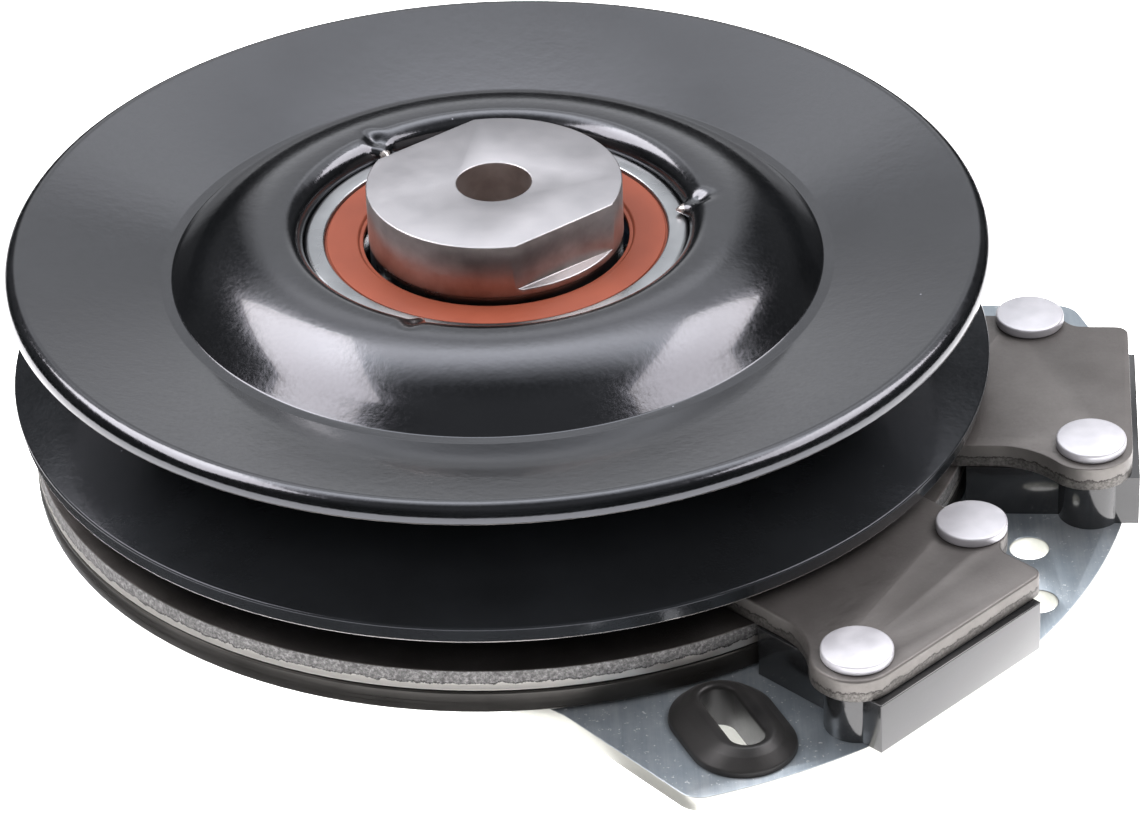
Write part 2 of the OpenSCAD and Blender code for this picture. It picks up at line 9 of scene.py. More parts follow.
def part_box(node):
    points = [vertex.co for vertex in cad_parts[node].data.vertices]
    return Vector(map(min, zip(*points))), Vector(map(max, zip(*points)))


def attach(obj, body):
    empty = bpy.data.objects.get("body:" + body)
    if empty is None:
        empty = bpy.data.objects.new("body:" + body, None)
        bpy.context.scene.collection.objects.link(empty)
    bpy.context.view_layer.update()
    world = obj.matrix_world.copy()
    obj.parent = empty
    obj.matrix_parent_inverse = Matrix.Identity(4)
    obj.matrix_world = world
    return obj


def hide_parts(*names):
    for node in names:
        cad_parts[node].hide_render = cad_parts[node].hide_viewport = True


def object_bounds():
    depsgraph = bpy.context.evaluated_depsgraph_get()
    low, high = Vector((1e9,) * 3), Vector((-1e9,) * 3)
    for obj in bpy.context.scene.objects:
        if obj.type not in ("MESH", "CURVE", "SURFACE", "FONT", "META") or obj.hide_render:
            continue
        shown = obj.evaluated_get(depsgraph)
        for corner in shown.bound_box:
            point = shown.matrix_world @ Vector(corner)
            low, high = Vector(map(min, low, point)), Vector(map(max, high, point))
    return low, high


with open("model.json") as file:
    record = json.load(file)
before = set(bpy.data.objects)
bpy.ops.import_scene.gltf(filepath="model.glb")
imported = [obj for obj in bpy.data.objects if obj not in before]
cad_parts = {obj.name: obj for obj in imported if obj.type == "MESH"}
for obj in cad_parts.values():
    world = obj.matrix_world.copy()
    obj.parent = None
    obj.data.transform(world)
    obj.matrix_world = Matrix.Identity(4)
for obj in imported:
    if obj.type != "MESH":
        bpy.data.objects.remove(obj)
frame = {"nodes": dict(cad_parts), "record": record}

# Looks of the electromagnetic clutch-brake, round the CAD frame. Lengths named in the sections on
# pieces are in millimetres, as in the CAD source. The meshes and the scene are in metres.
MM = 0.001
cad_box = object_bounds()
record = frame["record"]
body_of_node = {n: body for body, nodes in record["behaviour"]["bodies"].items() for n in nodes}


def box_mm(node):
    lo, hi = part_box(node)
    return lo / MM, hi / MM


# ---------- mesh helpers ----------

SHARP_ANGLE = 35  # degrees; edges that bend more stay sharp in the shading
BEVEL_ANGLE = 30  # degrees; CAD edges that bend more are rounded
FLAT_ANGLE = 0.4  # degrees; CAD facets that bend less are merged
WELD = 2e-6  # metres

def direction(angle):
    return Vector((math.cos(math.radians(angle)), math.sin(math.radians(angle))))


def arc(centre, radius, start, end, steps):
    """Points round an arc, from direction start to direction end, in degrees."""
    angles = [start + (end - start) * i / steps for i in range(steps + 1)]
    return [Vector(centre) + direction(a) * radius for a in angles]


def bend(before, corner, after, radius, steps=8):
    """The arc that rounds a corner of a line."""
    a, b, c = Vector(before), Vector(corner), Vector(after)
    u, v = (a - b).normalized(), (c - b).normalized()
    half = math.acos(max(-1.0, min(1.0, u.dot(v)))) / 2
    centre = b + (u + v).normalized() * radius / math.sin(half)
    start, end = b + u * radius / math.tan(half) - centre, b + v * radius / math.tan(half) - centre
    first = math.degrees(math.atan2(start.y, start.x))
    sweep = (math.degrees(math.atan2(end.y, end.x)) - first + 540) % 360 - 180
    return arc(centre, radius, first, first + sweep, steps)


def rounded(corners, closed=True, steps=8):
    """A line through corners (x, y, radius), each rounded to its radius."""
    points, n = [], len(corners)
    for i, (x, y, radius) in enumerate(corners):
        at_end = not closed and i in (0, n - 1)
        if at_end or radius == 0:
            points.append(Vector((x, y)))
        else:
            points += bend(corners[i - 1][:2], (x, y), corners[(i + 1) % n][:2], radius, steps)
    return points


def beside(points, distance):
    """An open line moved sideways, to its left for a positive distance."""
    moved = []
    for i, p in enumerate(points):
        along = points[min(i + 1, len(points) - 1)] - points[max(i - 1, 0)]
        moved.append(p + Vector((-along.y, along.x)).normalized() * distance)
    return moved


def piece(name, bm, nodes, slot, paint=None):
    """Turns a bmesh in metres into a smooth-shaded piece that stands for CAD nodes of one body. It is
    painted with its slot's material, or with a variant of that."""
    bmesh.ops.remove_doubles(bm, verts=bm.verts, dist=1e-7)
    bmesh.ops.recalc_face_normals(bm, faces=bm.faces)
    mesh = bpy.data.meshes.new(name)
    bm.to_mesh(mesh)
    bm.free()
    mesh.polygons.foreach_set("use_smooth", [True] * len(mesh.polygons))
    mesh.set_sharp_from_angle(angle=math.radians(SHARP_ANGLE))
    mesh.materials.append(paint or materials[slot])
    obj = bpy.data.objects.new(name, mesh)
    bpy.context.scene.collection.objects.link(obj)
    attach(obj, body_of_node[nodes[0]])
    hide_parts(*nodes)


def lathe_mesh(profile, segments=256, shape=None):
    """A closed profile (radius, height) turned round the shaft axis. shape may move each point."""
    bm = bmesh.new()
    rings = []
    for k in range(segments):
        angle = 360 * k / segments
        ring = []
        for r, z in profile:
            if shape:
                r, z = shape(r, z, angle)
            ring.append(bm.verts.new((*(direction(angle) * r * MM), z * MM)))
        rings.append(ring)
    count = len(profile)
    for k, ring in enumerate(rings):
        after = rings[(k + 1) % segments]
        for i in range(count):
            j = (i + 1) % count
            bm.faces.new((ring[i], after[i], after[j], ring[j]))
    return bm


def refined_mesh(node, width):
    """A CAD node's mesh, welded, with its sharp edges rounded to that width."""
    bm = bmesh.new()
    bm.from_mesh(frame["nodes"][node].data)
    bmesh.ops.remove_doubles(bm, verts=bm.verts, dist=WELD)
    flat = math.radians(FLAT_ANGLE)
    bmesh.ops.dissolve_limit(bm, angle_limit=flat, verts=bm.verts, edges=bm.edges)
    limit = math.radians(BEVEL_ANGLE)
    edges = [e for e in bm.edges if len(e.link_faces) == 2 and e.calc_face_angle(0) > limit]
    bmesh.ops.bevel(
        bm, geom=edges, offset=width * MM, offset_type="OFFSET", segments=3, profile=0.5,
        affect="EDGES", clamp_overlap=True,
    )
    return bm


# ---------- material helpers ----------


def add_node(tree, kind, links=None, **settings):
    """A shader node. links gives each input a value or another node's output."""
    node = tree.nodes.new(kind)
    for key, value in settings.items():
        setattr(node, key, value)
    for socket, source in (links or {}).items():
        if isinstance(source, bpy.types.NodeSocket):
            tree.links.new(source, node.inputs[socket])
        else:
            node.inputs[socket].default_value = source
    return node


def set_stops(node, stops):
    """Gives a colour ramp its stops (position, colour)."""
    elements = node.color_ramp.elements
    while len(elements) < len(stops):
        elements.new(0.5)
    for element, (position, colour) in zip(elements, stops):
        element.position = position
        element.color = (*colour, 1)


class Paint:
    """One node material, with short names for the nodes that the materials below share."""

    def __init__(self, name, **sockets):
        self.material = bpy.data.materials.new(name)
        self.material.use_nodes = True
        self.tree = self.material.node_tree
        self.shader = self.tree.nodes["Principled BSDF"]
        for socket, value in sockets.items():
            self.shader.inputs[socket.replace("_", " ")].default_value = value
        coordinates = self.tree.nodes.new("ShaderNodeTexCoord")
        self.place = coordinates.outputs["Object"]

    def add(self, kind, links=None, **settings):
        return add_node(self.tree, kind, links, **settings)

    def stretched(self, scale):
        """Object coordinates in metres, multiplied by scale along each axis."""
        return self.add("ShaderNodeVectorMath", {0: self.place, 1: scale}, operation="MULTIPLY").outputs[0]

    def noise(self, scale, detail=4.0, roughness=0.55, where=None):
        """Noise with this many features to the metre."""
        links = {
            "Vector": where or self.place, "Scale": scale, "Detail": detail, "Roughness": roughness,
        }
        return self.add("ShaderNodeTexNoise", links).outputs["Fac"]

    def ramp(self, value, stops):
        """Colour that follows value through stops (position, colour)."""
        node = self.add("ShaderNodeValToRGB", {"Fac": value})
        set_stops(node, stops)
        return node.outputs["Color"]

    def levels(self, value, low, high, out_low=0.0, out_high=1.0):
        links = {"Value": value, 1: low, 2: high, 3: out_low, 4: out_high}
        return self.add("ShaderNodeMapRange", links, clamp=True).outputs[0]

    def mix(self, factor, first, second):
        links = {"Factor": factor, 6: first, 7: second}
        return self.add("ShaderNodeMix", links, data_type="RGBA").outputs[2]

    def blend(self, factor, first, second):
        """mix() for numbers."""
        links = {"Factor": factor, 2: first, 3: second}
        return self.add("ShaderNodeMix", links, data_type="FLOAT").outputs[0]

    def math(self, operation, first, second=0.0):
        return self.add("ShaderNodeMath", {0: first, 1: second}, operation=operation).outputs[0]

    def upward(self):
        """1 where the surface faces up, 0 where it is vertical."""
        normal = self.add("ShaderNodeNewGeometry").outputs["Normal"]
        z = self.add("ShaderNodeSeparateXYZ", {0: normal}).outputs["Z"]
        return self.levels(z, 0.35, 0.85)

    def height(self):
        """Height in metres above the origin."""
        return self.add("ShaderNodeSeparateXYZ", {0: self.place}).outputs["Z"]

    def radius(self):
        """Distance from the shaft axis in metres."""
        flat = self.add("ShaderNodeVectorMath", {0: self.place, 1: (1, 1, 0)}, operation="MULTIPLY")
        return self.add("ShaderNodeVectorMath", {0: flat.outputs[0]}, operation="LENGTH").outputs["Value"]

    def bump(self, value, strength, distance):
        node = self.add("ShaderNodeBump", {"Height": value, "Strength": strength, "Distance": distance})
        self.tree.links.new(node.outputs[0], self.shader.inputs["Normal"])

    def into(self, socket, source):
        self.tree.links.new(source, self.shader.inputs[socket])


def grey(level, warm=0.0):
    return (level * (1 + warm), level, level * (1 - warm))


# ---------- materials, one for each slot of the record ----------


def black_paint(name="black_paint", level=0.0035, ior=1.52, coat=0.35, bare_spots=(), highlight_edge=None):
    """Gloss-black enamel with a faint orange peel, dull patches and a few specks of dust. It is
    scraped to bare steel at bare_spots, each a place in metres. Along highlight_edge, a circle of
    (radius, height, reach) in metres, it has a painted highlight: a thin pale metallic line."""
    p = Paint(name, IOR=ior, Coat_Weight=coat, Coat_Roughness=0.06, Specular_Tint=(0.86, 0.89, 1.0, 1))
    patches = p.noise(45, 3)
    grain = p.noise(1500, 3)
    dust = p.add("ShaderNodeTexVoronoi", {"Vector": p.place, "Scale": 150.0})
    near = p.levels(dust.outputs["Distance"], 0.028, 0.018)
    rare = p.levels(p.add("ShaderNodeSeparateColor", {0: dust.outputs["Color"]}).outputs[0], 0.86, 0.88)
    speck = p.math("MULTIPLY", near, rare)
    paint = p.ramp(patches, [(0.3, grey(level * 0.8, -0.10)), (0.7, grey(level * 1.2, -0.12))])
    colour = p.mix(speck, paint, (0.12, 0.125, 0.14, 1))
    rough = p.levels(patches, 0.3, 0.7, 0.13, 0.20)
    rough = p.math("ADD", rough, p.levels(grain, 0.35, 0.65, -0.025, 0.04))
    bare_steel_and_highlight = None
    for spot in bare_spots:
        apart = p.add("ShaderNodeVectorMath", {0: p.place, 1: spot}, operation="DISTANCE").outputs["Value"]
        ragged = p.math("ADD", apart, p.levels(grain, 0.3, 0.7, -0.0004, 0.0004))
        inside = p.levels(ragged, 0.0019, 0.0012)
        bare_steel_and_highlight = inside if bare_steel_and_highlight is None else p.math("MAXIMUM", bare_steel_and_highlight, inside)
    # Painted highlight: a thin pale metallic line round the rim's corner along highlight_edge.
    if highlight_edge:
        across = p.math("SUBTRACT", p.radius(), highlight_edge[0])
        along = p.math("SUBTRACT", p.height(), highlight_edge[1])
        square = p.math("ADD", p.math("MULTIPLY", across, across), p.math("MULTIPLY", along, along))
        wave = p.levels(p.noise(90, 3), 0.3, 0.7, -0.00006, 0.00006)
        ragged = p.math("ADD", p.math("SQRT", square), wave)
        pale_marks = p.levels(ragged, highlight_edge[2], highlight_edge[2] - 0.00006)
        bare_steel_and_highlight = pale_marks if bare_steel_and_highlight is None else p.math("MAXIMUM", bare_steel_and_highlight, pale_marks)
    if bare_steel_and_highlight is not None:
        # Pale metallic colour: bare steel at the stake spots, and a painted highlight along
        # highlight_edge.
        colour = p.mix(bare_steel_and_highlight, colour, (0.52, 0.49, 0.47, 1))
        p.into("Metallic", p.math("MULTIPLY", bare_steel_and_highlight, 0.85))
    p.into("Base Color", colour)
    p.into("Roughness", rough)
    p.bump(p.math("ADD", p.noise(500, 3), p.math("MULTIPLY", grain, 0.5)), 0.10, 0.0003)
    return p.material


def machined_steel():
    """Turned steel: light and finely granular on faces, brown-grey with tool lines on the sides."""
    p = Paint("machined_steel", Metallic=1.0, Anisotropic=0.2)
    up = p.upward()
    grain = p.noise(2600, 3, 0.7)
    blotches = p.noise(120, 4, 0.6)
    lines = p.noise(3200, 2, 0.5, p.stretched((0.03, 0.03, 1.0)))
    rings = p.noise(2400, 2, 0.5, p.add("ShaderNodeCombineXYZ", {"X": p.radius()}).outputs[0])
    face = p.ramp(blotches, [(0.3, (0.285, 0.281, 0.293)), (0.7, (0.325, 0.321, 0.333))])
    side = p.ramp(blotches, [(0.32, (0.36, 0.31, 0.29)), (0.68, (0.60, 0.55, 0.53))])
    p.into("Base Color", p.mix(up, side, face))
    marks = p.blend(up, lines, rings)
    sheen = p.levels(blotches, 0.3, 0.7, 0.30, 0.44)
    p.into("Roughness", p.math("ADD", sheen, p.math("MULTIPLY", grain, 0.1)))
    p.bump(p.math("ADD", marks, p.math("MULTIPLY", grain, 0.8)), 0.16, 0.00006)
    return p.material


def bearing_steel():
    """Ground bearing steel with fine rings."""
    p = Paint("bearing_steel", Metallic=1.0)
    rings = p.noise(5200, 2, 0.5, p.add("ShaderNodeCombineXYZ", {"X": p.radius()}).outputs[0])
    haze = p.noise(90, 3)
    p.into("Base Color", p.ramp(haze, [(0.3, (0.255, 0.265, 0.275)), (0.7, (0.32, 0.33, 0.34))]))
    p.into("Roughness", p.levels(haze, 0.3, 0.7, 0.24, 0.34))
    p.bump(rings, 0.08, 0.00004)
    return p.material


def spring_steel():
    """Blued strip steel with rolling lines."""
    p = Paint("spring_steel", Metallic=1.0)
    haze = p.noise(160, 4)
    p.into("Base Color", p.ramp(haze, [(0.3, (0.26, 0.27, 0.30)), (0.7, (0.44, 0.45, 0.48))]))
    p.into("Roughness", p.levels(p.noise(1800, 2), 0.3, 0.7, 0.26, 0.42))
    p.bump(p.noise(2500, 2), 0.06, 0.00005)
    return p.material


def seal_rubber():
    """Red-brown moulded rubber, a little dusty, with a fine satin grain."""
    p = Paint("seal_rubber", IOR=1.5, Specular_IOR_Level=0.14)
    haze = p.noise(70, 4)
    grain = p.noise(3000, 2)
    p.into("Base Color", p.ramp(haze, [(0.3, (0.150, 0.038, 0.021)), (0.7, (0.190, 0.050, 0.028))]))
    p.into("Roughness", p.levels(haze, 0.3, 0.7, 0.38, 0.50))
    p.bump(grain, 0.07, 0.00008)
    return p.material


def zinc_plate():
    """Blue-bright zinc on rolled steel: cloudy, with faint rolling streaks and pale spots."""
    p = Paint("zinc_plate", Metallic=0.66)
    clouds = p.noise(55, 5, 0.62)
    streaks = p.noise(900, 3, 0.6, p.stretched((1.0, 0.06, 1.0)))
    tone = p.math("ADD", p.math("MULTIPLY", clouds, 0.7), p.math("MULTIPLY", streaks, 0.3))
    zinc = p.ramp(tone, [
        (0.32, (0.17, 0.205, 0.235)), (0.5, (0.26, 0.30, 0.33)), (0.68, (0.40, 0.435, 0.46)),
    ])
    spots = p.levels(p.noise(1500, 2, 0.6), 0.64, 0.76)
    pale_marks = p.mix(spots, zinc, (0.66, 0.69, 0.71, 1))
    p.into("Base Color", p.mix(p.upward(), (0.42, 0.425, 0.39, 1), pale_marks))
    p.into("Roughness", p.levels(tone, 0.3, 0.7, 0.42, 0.27))
    p.bump(p.math("ADD", streaks, clouds), 0.08, 0.0001)
    return p.material


def zinc_rivet():
    """Bright zinc on the rivets, matt and finely grained."""
    p = Paint("zinc_rivet", Metallic=0.6)
    grain = p.noise(3800, 3, 0.7)
    haze = p.noise(260, 3)
    p.into("Base Color", p.ramp(haze, [(0.3, (0.41, 0.41, 0.435)), (0.7, (0.50, 0.50, 0.525))]))
    p.into("Roughness", p.levels(haze, 0.3, 0.7, 0.42, 0.54))
    p.bump(grain, 0.12, 0.00006)
    return p.material


def bare_pole_steel():
    """Blanked steel under thin oil: dark and warm on top. The cut edge is pale, with a dark torn line
    between its smooth upper band and its grainy lower one."""
    p = Paint("bare_pole_steel", Metallic=0.72)
    lo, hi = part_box("brake_pole_front")
    clouds = p.noise(70, 5, 0.6)
    pits = p.noise(1300, 4, 0.7)
    top = p.ramp(clouds, [(0.3, (0.090, 0.084, 0.080)), (0.7, (0.128, 0.121, 0.116))])
    grain = p.noise(1900, 4, 0.75)
    wave = p.levels(p.noise(230, 5, 0.75), 0.3, 0.7, -0.0007, 0.0007)
    z = p.math("ADD", p.height(), wave)
    tear = lo.z + (hi.z - lo.z) * 0.42
    smooth = p.ramp(clouds, [(0.3, (0.115, 0.108, 0.101)), (0.7, (0.165, 0.157, 0.148))])
    coarse = p.ramp(grain, [(0.35, (0.045, 0.042, 0.039)), (0.65, (0.140, 0.133, 0.124))])
    edge = p.mix(p.levels(z, tear - 0.0001, tear + 0.0001), coarse, smooth)
    line = p.levels(p.math("ABSOLUTE", p.math("SUBTRACT", z, tear)), 0.00022, 0.00008)
    edge = p.mix(p.math("MULTIPLY", line, p.levels(grain, 0.35, 0.5)), edge, (0.03, 0.027, 0.025, 1))
    shade = p.mix(p.upward(), edge, top)
    scratches = p.levels(p.noise(260, 5, 0.8, p.stretched((1.0, 3.2, 1.0))), 0.71, 0.75)
    p.into("Base Color", p.mix(scratches, shade, (0.42, 0.405, 0.38, 1)))
    p.into("Roughness", p.levels(pits, 0.3, 0.7, 0.40, 0.56))
    p.bump(pits, 0.26, 0.00012)
    return p.material


def armature_steel():
    """Sheared ring edge: a granular torn band above a smooth burnished one, and a dark oily top."""
    p = Paint("armature_steel", Metallic=0.9)
    lo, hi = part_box("armature_plate")
    burnish = 0.34
    wave = p.levels(p.noise(420, 5, 0.75), 0.3, 0.7, -0.0004, 0.0004)
    z = p.math("ADD", p.height(), wave)
    edge_z = lo.z + (hi.z - lo.z) * burnish
    torn = p.levels(z, edge_z - 0.00005, edge_z + 0.00005)
    grain = p.noise(1700, 5, 0.8)
    rough_band = p.ramp(grain, [
        (0.35, (0.09, 0.089, 0.088)), (0.5, (0.18, 0.178, 0.176)), (0.66, (0.40, 0.395, 0.39)),
    ])
    side = p.mix(torn, (0.66, 0.645, 0.61, 1), rough_band)
    lip = p.levels(p.math("ABSOLUTE", p.math("SUBTRACT", z, edge_z + 0.00012)), 0.00014, 0.00004)
    side = p.mix(p.math("MULTIPLY", lip, 0.8), side, (0.03, 0.028, 0.026, 1))
    top = p.ramp(p.noise(90, 4), [(0.3, (0.06, 0.056, 0.052)), (0.7, (0.11, 0.104, 0.10))])
    p.into("Base Color", p.mix(p.upward(), side, top))
    p.into("Roughness", p.blend(torn, 0.34, 0.55))
    p.bump(p.math("MULTIPLY", grain, torn), 0.5, 0.00025)
    return p.material


def rotor_steel():
    """Dark phosphated rotor with turning lines round its edge."""
    p = Paint("rotor_steel", Metallic=0.8, Specular_IOR_Level=0.3)
    lines = p.noise(2600, 2, 0.5, p.stretched((0.02, 0.02, 1.0)))
    clouds = p.noise(60, 4, 0.6)
    p.into("Base Color", p.ramp(clouds, [(0.3, (0.028, 0.027, 0.025)), (0.7, (0.055, 0.053, 0.050))]))
    p.into("Roughness", p.levels(lines, 0.3, 0.7, 0.26, 0.40))
    p.bump(lines, 0.14, 0.00008)
    return p.material


def magnet_plastic():
    """Glossy black moulded plastic with a slight waviness."""
    p = Paint("magnet_plastic", IOR=1.56, Coat_Weight=0.25, Coat_Roughness=0.05)
    wave = p.noise(110, 2)
    fine = p.noise(1700, 2)
    p.into("Base Color", p.ramp(wave, [(0.3, grey(0.008, -0.05)), (0.7, grey(0.014, -0.05))]))
    p.into("Roughness", p.levels(fine, 0.3, 0.7, 0.10, 0.20))
    p.bump(p.math("ADD", wave, p.math("MULTIPLY", fine, 0.1)), 0.12, 0.0003)
    return p.material


def ferrite():
    """Sintered magnet: dark grey and chalky."""
    p = Paint("ferrite")
    grain = p.noise(1500, 5, 0.7)
    p.into("Base Color", p.ramp(grain, [(0.3, grey(0.028)), (0.7, grey(0.06))]))
    p.into("Roughness", p.levels(grain, 0.3, 0.7, 0.6, 0.8))
    p.bump(grain, 0.2, 0.0002)
    return p.material


def grommet_rubber():
    """Black rubber with a soft sheen and a bloom of grey."""
    p = Paint("grommet_rubber", IOR=1.42, Sheen_Weight=0.04)
    bloom = p.noise(130, 5, 0.65)
    grain = p.noise(2400, 3)
    p.into("Base Color", p.ramp(bloom, [(0.3, grey(0.004)), (0.72, grey(0.010, 0.05))]))
    p.into("Roughness", p.levels(bloom, 0.3, 0.7, 0.40, 0.54))
    p.bump(p.math("ADD", p.math("MULTIPLY", bloom, 0.5), grain), 0.12, 0.00012)
    return p.material


def bobbin_plastic():
    """Glass-filled nylon, with a fibre mottle."""
    p = Paint("bobbin_plastic")
    fibre = p.noise(1100, 4, 0.7, p.stretched((1.0, 0.25, 1.0)))
    p.into("Base Color", p.ramp(fibre, [(0.3, (0.030, 0.045, 0.080)), (0.7, (0.060, 0.085, 0.130))]))
    p.into("Roughness", p.levels(fibre, 0.3, 0.7, 0.45, 0.6))
    p.bump(fibre, 0.1, 0.0001)
    return p.material


def copper_winding():
    """Enamelled copper wire, with a line for each layer of turns."""
    p = Paint("copper_winding", Metallic=0.85)
    links = {"Vector": p.place, "Scale": 330.0, "Distortion": 0.4}
    turns = p.add("ShaderNodeTexWave", links, bands_direction="Z").outputs["Fac"]
    p.into("Base Color", p.ramp(turns, [(0.1, (0.20, 0.06, 0.02)), (0.9, (0.62, 0.27, 0.11))]))
    p.into("Roughness", p.levels(p.noise(500), 0.3, 0.7, 0.25, 0.4))
    p.bump(turns, 0.6, 0.0003)
    return p.material


def brass_blade():
    """Stamped brass with fine drawing lines."""
    p = Paint("brass_blade", Metallic=1.0)
    lines = p.noise(1800, 2, 0.5, p.stretched((1.0, 0.05, 1.0)))
    p.into("Base Color", p.ramp(lines, [(0.3, (0.62, 0.44, 0.17)), (0.7, (0.80, 0.62, 0.30))]))
    p.into("Roughness", p.levels(lines, 0.3, 0.7, 0.22, 0.36))
    p.bump(lines, 0.06, 0.00005)
    return p.material


MAKERS = (
    black_paint, machined_steel, bearing_steel, spring_steel, seal_rubber, zinc_plate, zinc_rivet,
    bare_pole_steel, armature_steel, rotor_steel, magnet_plastic, ferrite, grommet_rubber,
    bobbin_plastic, copper_winding, brass_blade,
)
materials = {make.__name__: make() for make in MAKERS}

for part in record["subparts"]:
    shown = frame["nodes"][part["node"]]
    shown.data.materials.clear()
    shown.data.materials.append(materials[part["material_slot"]])

# ---------- pulley ----------

SHEET = 3.1
upper_lo, upper_hi = box_mm("pulley_upper_half")
lower_lo, lower_hi = box_mm("pulley_lower_half")
rim_r = upper_hi.x
upper_rim_mid = 53.55
crest_mid = upper_hi.z - SHEET / 2
cup_wall = 32.55
cup_floor = upper_lo.z + SHEET / 2
lower_rim_mid = lower_lo.z + SHEET / 2
lower_web = lower_hi.z - SHEET / 2
groove_r = 53.6
slope = 0.2
LOWER_RISE = 5.2


def sheet_profile(line, rim_mid, outer_round, under_round):
    """Closed outline of the pressed sheet round its middle line, with an upright, rounded rim. The
    line starts at the rim and runs inward."""
    upper, under = beside(line, -SHEET / 2), beside(line, SHEET / 2)
    upper = [p for p in upper if p.x < rim_r - outer_round]
    under = [p for p in under if p.x < rim_r - under_round]
    top, bottom = rim_mid + SHEET / 2, rim_mid - SHEET / 2
    tilt = math.degrees(math.atan(slope))
    rim = arc((rim_r - outer_round, top - outer_round), outer_round, 90 + tilt, 0, 10)
    rim += arc((rim_r - under_round, bottom + under_round), under_round, 0, tilt - 90, 6)
    return rim + under + upper[::-1]


STAKE_FIRST = 6.5
STAKE_DEPTH = 2.1
STAKE_Z = upper_hi.z - 2.3
STAKE_BORE = cup_wall - 1.65
SCOOP_DEPTH = 1.1
STAKED_FROM = 50  # height above which the cup's wall is shaped


def bell(distance, width):
    return math.exp(-((distance / width) ** 2))


def staked(r, z, angle):
    """Pushes the cup's wall inward at three stakes that hold the bearing, below a punch's scoop."""
    if not 30.5 < r < 36 or z < STAKED_FROM:
        return r, z
    for k in range(3):
        off = (angle - STAKE_FIRST - 120 * k + 180) % 360 - 180
        across = math.radians(off) * r
        r -= STAKE_DEPTH * bell(across, 1.15) * bell(z - STAKE_Z, 1.0)
        z -= SCOOP_DEPTH * bell(across, 1.35) * bell(z - upper_hi.z, 0.9) * bell(r - cup_wall, 2.0)
    return r, z


def denser(points, low, high, step):
    """Adds points along the cup's wall between two heights, so that it can be shaped."""
    made = []
    for a, b in zip(points, points[1:] + points[:1]):
        made.append(a)
        inside = low < max(a.y, b.y) and min(a.y, b.y) < high and 30 < min(a.x, b.x) < 34
        parts = int((b - a).length / step) if inside else 0
        made += [a.lerp(b, i / parts) for i in range(1, parts)]
    return made


foot_r = 51.85
ledge_r = 54.4
ledge = upper_rim_mid - slope * (rim_r - ledge_r)
upper_line = rounded([
    (rim_r, upper_rim_mid, 0),
    (ledge_r, ledge, 3.0),
    (foot_r, ledge, 2.1),
    (43.0, crest_mid, 20.0),
    (cup_wall, crest_mid, 2.1),
    (cup_wall, cup_floor, 1.6),
    (27.5, cup_floor, 0),
], closed=False, steps=14)
upper_profile = denser(sheet_profile(upper_line, upper_rim_mid, 2.3, 0.45), STAKED_FROM, 60, 0.35)
stake_tips = [
    Vector((*(direction(STAKE_FIRST + 120 * k) * (STAKE_BORE - STAKE_DEPTH)), STAKE_Z)) * MM
    for k in range(3)
]
# The upper flange is bare steel at the stakes and has a painted highlight along its rim's lower corner.
piece(
    "pulley_upper_flange", lathe_mesh(upper_profile, 360, staked), ["pulley_upper_half"],
    "black_paint", paint=black_paint(
        "black_paint_staked", bare_spots=stake_tips,
        highlight_edge=(rim_r * MM, (upper_rim_mid - SHEET / 2) * MM, 0.00028)),
)

lower_line = rounded([
    (rim_r - slope * SHEET / 2, lower_rim_mid, 0),
    (groove_r, lower_rim_mid + LOWER_RISE, 2.4),
    (groove_r, lower_web, 2.4),
    (cup_wall + SHEET / 2, lower_web, 0),
], closed=False, steps=10)


def lower_profile():
    """The lower sheet's outline. Its rim is cut square to the sloping sheet and barely rounded."""
    edge_round = 0.4
    upper, under = beside(lower_line, -SHEET / 2), beside(lower_line, SHEET / 2)
    rim = bend(upper[1], upper[0], under[0], edge_round) + bend(upper[0], under[0], under[1], edge_round)
    return rim + under[1:] + upper[:0:-1]


# The lower flange has a painted highlight along its rim's lower corner.
lower_edge = beside(lower_line, SHEET / 2)[0] * MM
piece(
    "pulley_lower_flange", lathe_mesh(lower_profile(), 256), ["pulley_lower_half"], "black_paint",
    paint=black_paint(
        "black_paint_groove", level=0.011, ior=1.35, coat=0.0, highlight_edge=(*lower_edge, 0.00044)),
)

# ---------- bearing in the pulley ----------

RING_BORE = 27.62
RING_PLAY = 0.02
SEAL_OUTER = 27.6
SEAL_INNER = 21.4
ring_lo, ring_hi = box_mm("pulley_bearing_outer_ring")
seal_lo, seal_hi = box_mm("pulley_bearing_seal_upper")
ring_profile = rounded([
    (ring_hi.x - RING_PLAY, ring_lo.z, 0.9),
    (ring_hi.x - RING_PLAY, ring_hi.z, 0.9),
    (RING_BORE, ring_hi.z, 0.35),
    (RING_BORE, ring_lo.z, 0.35),
], steps=5)
piece(
    "pulley_bearing_outer_race", lathe_mesh(ring_profile, 192), ["pulley_bearing_outer_ring"],
    "bearing_steel",
)


def seal_profile(top, bottom, inner, outer):
    """Flat seal with a step down at its outer edge and a thin, low lip round the arbor."""
    step, lip = 0.35, 0.4
    return rounded([
        (outer, bottom, 0.1), (outer, top - step, 0.1), (outer - step, top - step, 0.05),
        (outer - step, top, 0.15), (inner + 0.9, top, 0.4), (inner + 0.6, top - lip, 0.15),
        (inner, top - lip, 0.15), (inner, bottom, 0.1),
    ], steps=4)


piece(
    "pulley_bearing_seal",
    lathe_mesh(seal_profile(seal_hi.z, seal_lo.z, SEAL_INNER, SEAL_OUTER), 192),
    ["pulley_bearing_seal_upper"], "seal_rubber",
)

# ---------- pieces that keep the CAD shape, with their edges rounded ----------

